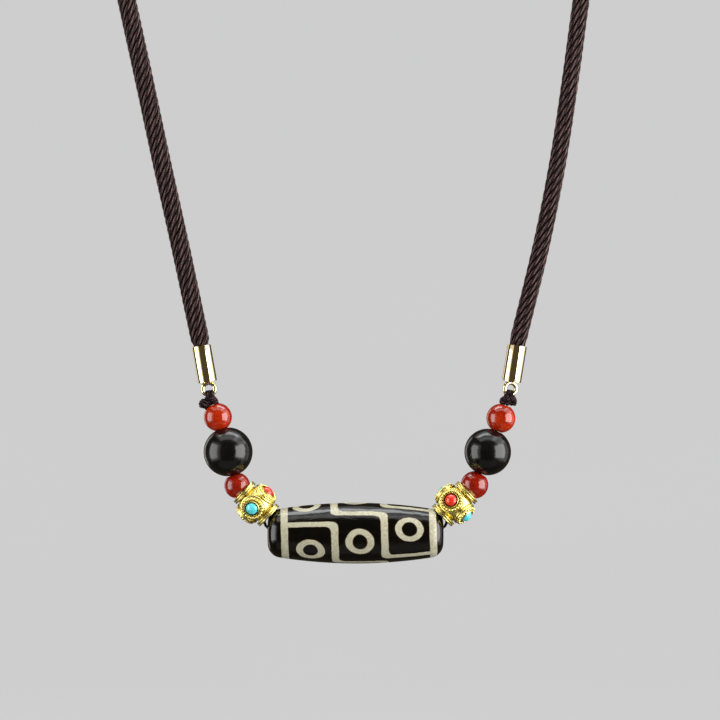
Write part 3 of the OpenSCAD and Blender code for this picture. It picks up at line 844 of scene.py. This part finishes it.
# The thread's loops through each eye, in mm: (shift along the wire, tilt)
EYE_LOOPS = {
    LEFT: [(-0.45, 0.1), (0.08, -0.1), (0.60, 0.12)],
    RIGHT: [(-0.70, 0.12), (-0.15, -0.08), (0.40, 0.1)],
}


def tie_knots():
    """Each knot: thread wound into a few tight lobes below the cap's eye, and loops through the eye."""
    for side in (LEFT, RIGHT):
        lines = [
            (wound_lobe((x, y, z), tilt, width, height, thread_r), thread_r)
            for x, y, z, tilt, width, height, thread_r in KNOT_LOBES[side]
        ]
        lines += [(eye_loop(side, shift, tilt), LOOP_R) for shift, tilt in EYE_LOOPS[side]]
        shells, uvs = [], []
        for line, thread_r in lines:
            shell, shell_uvs = twisted_cord(line, thread_r, KNOT_PITCH, plies=3, ply_steps=5, groove=0.1)
            shells.append(shell)
            uvs += shell_uvs
        make_piece(f"{SIDE_NAME[side]}_knot_turns", joined(shells), KNOT_THREAD,
                   [f"{SIDE_NAME[side]}_knot"], uvs, crease=70)


def ground_length(d, mouth):
    """The length of a round bead that is ground flat where its hole opens."""
    return 2 * math.sqrt((d / 2) ** 2 - (mouth / 2 + GROUND_RIM) ** 2)


def round_beads(side):
    """The round beads of one side from below: (node's ending, angle of its hole, length)."""
    hang = HANG[side]
    return [
        ("carnelian_lower", hang["low_hole"], ground_length(LOW_D[side], SMALL_MOUTH)),
        ("black_bead", hang["black_hole"], ground_length(BLACK_D[side], BLACK_MOUTH[side])),
        ("carnelian_upper", hang["high_hole"], ground_length(HIGH_D[side], SMALL_MOUTH)),
    ]


def thread_side(side):
    """The thread's way from the long bead's hole up through the beads of one side."""
    spacer, axis = middle_of(f"{SIDE_NAME[side]}_spacer"), lean(side, HANG[side]["spacer"])
    face = side * DZI_LENGTH / 2
    hollow_lip = spacer - axis * SPACER_HALF + turn_about("y", side * 90) @ axis * LIP_R
    bore_end = axis * BORE_TOP
    way = [
        (face - side * 2, FRONT_Y, THREAD_Z),
        (face - side * DZI_MOUTH_DEPTH / 2, FRONT_Y, THREAD_Z + FIT_GAP),
        ((hollow_lip[0] + face) / 2, FRONT_Y, hollow_lip[2]),
        spacer - bore_end,
        spacer,
        spacer + bore_end,
    ]
    below = spacer + axis * HOLLOW_FLOOR
    for bead, hole, length in round_beads(side):
        middle = middle_of(f"{SIDE_NAME[side]}_{bead}")
        half = lean(side, hole) * length / 2
        way += [(below + middle - half) / 2, middle]
        below = middle + half
    return way + [below]


def run_thread():
    """One thread from knot to knot through all the beads."""
    route = thread_side(LEFT)[::-1] + [(0, FRONT_Y, THREAD_Z)] + thread_side(RIGHT)
    line = smooth_line(route, THREAD_STEP)
    shell, uvs = twisted_cord(line, THREAD_D / 2, THREAD_PITCH, plies=3, ply_steps=5, groove=0.1)
    make_piece("bead_thread", shell, KNOT_THREAD, ["thread"], uvs, crease=70)


# Round beads


def round_bead(name, node, side, angle, d, bore, mouth, finish):
    """A round bead with a hole whose mouths are widened."""
    length = ground_length(d, mouth)
    rise = math.degrees(math.asin(length / d))
    depth = (mouth - bore) * MOUTH_SLOPE
    outline = arc((0, 0), d / 2, -rise, rise, 48) + [
        (mouth / 2, length / 2), (bore / 2, length / 2 - depth),
        (bore / 2, depth - length / 2), (mouth / 2, -length / 2),
    ]
    shell = moved(turned(outline, sides=96), middle_of(node), turn_about("y", side * angle))
    make_piece(name, shell, finish, [node])


def thread_beads():
    """The round beads of both sides."""
    for side in (LEFT, RIGHT):
        word, hang = SIDE_NAME[side], HANG[side]
        round_bead(f"{word}_orange_bead", f"{word}_carnelian_upper", side, hang["high_hole"],
                   HIGH_D[side], SMALL_BORE, SMALL_MOUTH, UPPER_RED)
        round_bead(f"{word}_red_bead", f"{word}_carnelian_lower", side, hang["low_hole"],
                   LOW_D[side], SMALL_BORE, SMALL_MOUTH, LOWER_RED)
        round_bead(f"{word}_satin_bead", f"{word}_black_bead", side, hang["black_hole"],
                   BLACK_D[side], BLACK_BORE, BLACK_MOUTH[side], BLACK)


# The long bead


def dzi_outline():
    """One flat arc for the flank, rounded rims and a bore with widened mouths."""
    half = DZI_LENGTH / 2
    flank_r = (half ** 2 + DZI_SAG ** 2) / (2 * DZI_SAG)
    below = flank_r - DZI_D / 2
    rim_x = half - DZI_ROUND
    rim_r = math.sqrt((flank_r - DZI_ROUND) ** 2 - rim_x ** 2) - below
    lean_end = math.degrees(math.asin(rim_x / (flank_r - DZI_ROUND)))
    flank = arc((-below, 0), flank_r, 0, lean_end, 60)
    rim = arc((rim_r, rim_x), DZI_ROUND, lean_end, 90, 18)[1:]
    face = half - END_HOLLOW
    end = [(rim_r - 0.1, face), (DZI_MOUTH / 2, face), (DZI_BORE / 2, half - DZI_MOUTH_DEPTH)]
    upper = flank + rim + end
    return upper + [(r, -z) for r, z in reversed(upper[1:])]


def etch_long_bead():
    """The long bead, lying along X."""
    shell = moved(turned(dzi_outline(), sides=144), (0, FRONT_Y, BEAD_LINE_Z), turn_about("y", 90))
    make_piece("etched_long_bead", shell, ETCHED, ["dzi_bead"], crease=50)


# Gilt spacers and their stones

BALL_R, BALL_END_R = 3.65, 2.08
# A rim is two rounded discs with a groove between them
RIM_R, RIM_DISC, RIM_ROUND = 3.0, 0.42, 0.12
GROOVE_R, GROOVE = 2.78, 0.08
# The hollow end's round wall goes this far round, in degrees from the spacer's axis
HOLLOW_SPREAD = 153

# A seat, with heights above the spacer's axis
SEAT_FOOT, SEAT_TOP, SEAT_R, SEAT_EDGE = 1.5, 3.55, 2.45, 0.06
WELL_FLOOR, WELL_R = 3.2, 1.44
# The collar's section, as (radius, height above the seat)
COLLAR = [(1.76, -0.05), (1.70, 0.23), (1.65, 0.43), (1.58, 0.52), (1.51, 0.52), (1.45, 0.43), (WELL_R, -0.2)]
GRAIN_RING_R, GRAIN_D, GRAIN_RISE, GRAIN_COUNT = 2.13, 0.62, 0.08, 21
FOOT_WIRE_R, FOOT_WIRE_HEIGHT, FOOT_WIRE_D = 2.52, 2.98, 0.44
# What lies inside this radius and below this height is in the gap round the stone
GAP_R, GAP_TOP = 1.48, 3.99

SEATS = 4
STONE_R, STONE_FOOT, STONE_SHOULDER, STONE_TOP = 1.24, 3.25, 4.02, 4.72
DOME_R, DOME_SPREAD = 1.42, 60.73
# The stones of each spacer, one to a seat
STONES = {
    LEFT: [("turquoise_front", "turquoise"), ("coral_upper", "coral"),
           ("turquoise_back", "turquoise"), ("coral_lower", "coral")],
    RIGHT: [("coral_front", "coral"), ("turquoise_lower", "turquoise"),
            ("coral_back", "coral"), ("turquoise_upper", "turquoise")],
}


def rim_disc(foot):
    """The outline of one rounded disc of a rim, from its foot upwards."""
    corner = RIM_R - RIM_ROUND
    return (arc((corner, foot + RIM_ROUND), RIM_ROUND, -90, 0, 4)
            + arc((corner, foot + RIM_DISC - RIM_ROUND), RIM_ROUND, 0, 90, 4))


def spacer_body(side):
    """A ball with a hollow end and a double rim at each end."""
    hollow_r = LOW_D[side] / 2 + FIT_GAP
    hollow_z = HOLLOW_FLOOR + hollow_r
    inner_foot = SPACER_HALF - 2 * RIM_DISC - GROOVE
    outer_foot = SPACER_HALF - RIM_DISC
    mouth = math.degrees(math.acos((SPACER_HALF - hollow_z) / hollow_r))
    half = arc((0, 0), BALL_R, 0, math.degrees(math.acos(BALL_END_R / BALL_R)), 24)
    half += rim_disc(inner_foot)
    half += [(GROOVE_R, inner_foot + RIM_DISC), (GROOVE_R, outer_foot)]
    half += rim_disc(outer_foot)
    half += arc((0, hollow_z), hollow_r, 90 - mouth, 90 - HOLLOW_SPREAD, 7)
    half += [(SPACER_BORE / 2, BORE_TOP)]
    return turned(half + [(r, -z) for r, z in reversed(half[1:])], sides=96)


def grain_ring(radius, height, d, count):
    """A ring of round grains about Z."""
    angles = np.arange(count) * 2 * math.pi / count
    centres = np.stack([radius * np.cos(angles), radius * np.sin(angles), np.full(count, height)], axis=1)
    return balls(centres, d)


def stone_seat():
    """A drum with a bezel collar, grains round the collar, and a thick wire round its foot."""
    drum = [
        (0, SEAT_FOOT), (SEAT_R, SEAT_FOOT), (SEAT_R, SEAT_TOP - SEAT_EDGE), (SEAT_R - SEAT_EDGE, SEAT_TOP),
        (WELL_R, SEAT_TOP), (WELL_R, WELL_FLOOR), (0, WELL_FLOOR),
    ]
    return joined([
        turned(drum, sides=64),
        turned([(radius, SEAT_TOP + height) for radius, height in COLLAR], sides=64),
        grain_ring(GRAIN_RING_R, SEAT_TOP + GRAIN_RISE, GRAIN_D, GRAIN_COUNT),
        wire_ring(FOOT_WIRE_R, FOOT_WIRE_HEIGHT, FOOT_WIRE_D, sides=64),
    ])


def domed_stone():
    """A round cabochon that stands in its collar."""
    foot = [(0, STONE_FOOT), (STONE_R, STONE_FOOT), (STONE_R, STONE_SHOULDER)]
    return turned(foot + arc((0, STONE_TOP - DOME_R), DOME_R, 90 - DOME_SPREAD, 90, 11), sides=48)


def seat_turn(side, k):
    """The turn from a seat's own axes to the spacer's."""
    return turn_about("z", 360 / SEATS * k - 90 - HANG[side]["spacer_turn"]) @ turn_about("y", 90)


def shade_and_dirt_in_gap(shell):
    """Marks the corners of a seat's faces that lie in the gap round its stone, where painted shade and dirt
    darken the gilt.
    """
    points, faces = shell
    deep = (np.hypot(points[:, 0], points[:, 1]) < GAP_R) & (points[:, 2] < GAP_TOP)
    return [(float(deep[i]), 0.0) for face in faces for i in face]


def set_spacers():
    """The two gilt spacers, each with four stones."""
    finishes = {"turquoise": TURQUOISE, "coral": CORAL}
    for side in (LEFT, RIGHT):
        word = SIDE_NAME[side]
        place, axis_turn = middle_of(f"{word}_spacer"), turn_about("y", side * HANG[side]["spacer"])
        body, seat = spacer_body(side), stone_seat()
        seats = [moved(seat, turn=seat_turn(side, k)) for k in range(SEATS)]
        shell = moved(joined([body] + seats), place, axis_turn)
        # The gap round each seat's stone gets painted shade and dirt
        surface = [(0.0, 0.0)] * sum(len(face) for face in body[1]) + shade_and_dirt_in_gap(seat) * SEATS
        make_piece(f"{word}_gilt_spacer", shell, YELLOW_GILT, [f"{word}_spacer"], surface)
        for k, (stone, kind) in enumerate(STONES[side]):
            shell = moved(domed_stone(), place, axis_turn @ seat_turn(side, k))
            make_piece(f"{word}_{stone}_stone", shell, finishes[kind], [f"{word}_{stone}"])


# End caps


def cap_cup():
    """A thin-walled cup on Z, softened at its foot and at its lip."""
    r, inner = CAP_D / 2, CAP_D / 2 - CAP_WALL
    foot = [(0, 0), (r - 0.12, 0), (r - 0.03, 0.03), (r, 0.12)]
    lip = [
        (r, CAP_LENGTH - 0.1), (r - 0.05, CAP_LENGTH),
        (inner + 0.05, CAP_LENGTH), (inner, CAP_LENGTH - 0.08),
    ]
    return turned(foot + lip + [(inner, CAP_FLOOR), (0, CAP_FLOOR)], sides=96)


def cap_neck():
    """The solder that flares from the eye's wire to the underside of the cup."""
    return turned([(0, -0.5), (0.42, -0.5), (0.48, -0.25), (0.72, -0.06), (1.0, 0.02), (0, 0.05)], sides=48)


def set_caps():
    """The two end caps, each a polished cup with an eye cast below it."""
    for side in (LEFT, RIGHT):
        hang, word = HANG[side], SIDE_NAME[side]
        eye_turn = turn_about("z", hang["eye_turn"]) @ turn_about("x", 90)
        ring = wire_ring((EYE_D - EYE_WIRE) / 2, 0, EYE_WIRE, steps=20)
        shell = joined([cap_cup(), moved(ring, (0, 0, -EYE_BELOW), eye_turn), cap_neck()])
        shell = moved(shell, cap_at(side, 0), turn_about("y", side * hang["cap"]))
        make_piece(f"{word}_gilt_cap", shell, PALE_GILT, [f"{word}_end_cap"])


# Studio


# In metres
FLOOR_Z, FLOOR_R, SWEEP_R = -0.42, 1.6, 1.4
WALL_TOP, WALL, UNDERSIDE_Z = 3.5, 0.2, -0.6

NEUTRAL, COOL = (1, 1, 1), (0.94, 0.98, 1.0)
# (name, azimuth, elevation, distance, width, height, radiance, colour)
LIGHTS = [
    ("right_softbox", 66, 3, 0.75, 0.80, 0.75, 5.0, NEUTRAL),
    ("right_diffuser", 78, 3, 0.80, 1.40, 1.15, 0.8, NEUTRAL),
    ("left_softbox", -73, 2, 0.75, 0.55, 0.75, 3.4, NEUTRAL),
    ("left_diffuser", -68, 2, 0.80, 0.90, 1.10, 0.7, NEUTRAL),
    ("upper_right_softbox", 86, 47, 0.80, 0.70, 0.60, 1.7, NEUTRAL),
    ("top_strip", 180, 79, 0.70, 0.90, 0.20, 5.2, COOL),
    ("top_diffuser", 180, 80, 0.90, 1.40, 0.90, 0.9, NEUTRAL),
    ("front_strip", 0, 70, 0.70, 0.90, 0.20, 1.5, NEUTRAL),
    ("rim_strip", -140, 5, 0.90, 0.25, 0.90, 1.2, NEUTRAL),
    ("low_fill", 0, -62, 0.80, 1.20, 0.60, 0.14, NEUTRAL),
]


def pale_paper():
    """Matt paper with a slight glow, so that the floor is evenly pale from all sides."""
    material, bench, shader = start_finish("pale_paper")
    tone = bench.noise(bench.place(), 3.0, 2.0)
    dress(bench, shader, Base_Color=bench.mix(tone, colour(0.10, 0.10, 0.10), colour(0.14, 0.14, 0.14)),
          Roughness=0.9, Emission_Color=colour(1, 1, 1), Emission_Strength=0.57)
    return material


def lay_floor():
    """A pale floor that sweeps up into a wall all round."""
    wall_r = FLOOR_R + SWEEP_R
    sweep = [(radius, FLOOR_Z) for radius in np.linspace(0, FLOOR_R, 5)]
    sweep += arc((FLOOR_R, FLOOR_Z + SWEEP_R), SWEEP_R, -85, 0, 18)
    sweep += [(wall_r, WALL_TOP), (wall_r + WALL, WALL_TOP), (wall_r + WALL, UNDERSIDE_Z), (0, UNDERSIDE_Z)]
    points, faces = turned(sweep, sides=96)
    mesh = bpy.data.meshes.new("floor")
    mesh.from_pydata(points.tolist(), [], faces)
    mesh.shade_smooth()
    mesh.materials.append(pale_paper())
    floor = bpy.data.objects.new("floor", mesh)
    bpy.context.scene.collection.objects.link(floor)
    floor.visible_glossy = floor.visible_diffuse = floor.visible_shadow = False


def set_lights():
    """Soft light from both sides and from above, and a little from below."""
    for light in LIGHTS:
        softbox(*light)


def set_room():
    """An even dim room, which reflections see darker still."""
    world = bpy.data.worlds.new("room")
    world.use_nodes = True
    world.node_tree.nodes.clear()
    bench = Bench(world.node_tree)
    glossy = bench.node("LightPath").outputs["Is Glossy Ray"]
    shade = bench.mix(glossy, colour(0.26, 0.265, 0.27), colour(0.068, 0.056, 0.04))
    room = bench.node("Background", None, {"Color": shade, "Strength": 1.0})
    output = bench.node("OutputWorld")
    bench.tree.links.new(room.outputs[0], output.inputs["Surface"])
    bpy.context.scene.world = world
    bpy.context.scene.view_settings.view_transform = "Standard"


set_camera()
lay_floor()
set_lights()
set_room()
lay_rope()
tie_knots()
thread_beads()
etch_long_bead()
set_spacers()
set_caps()
run_thread()
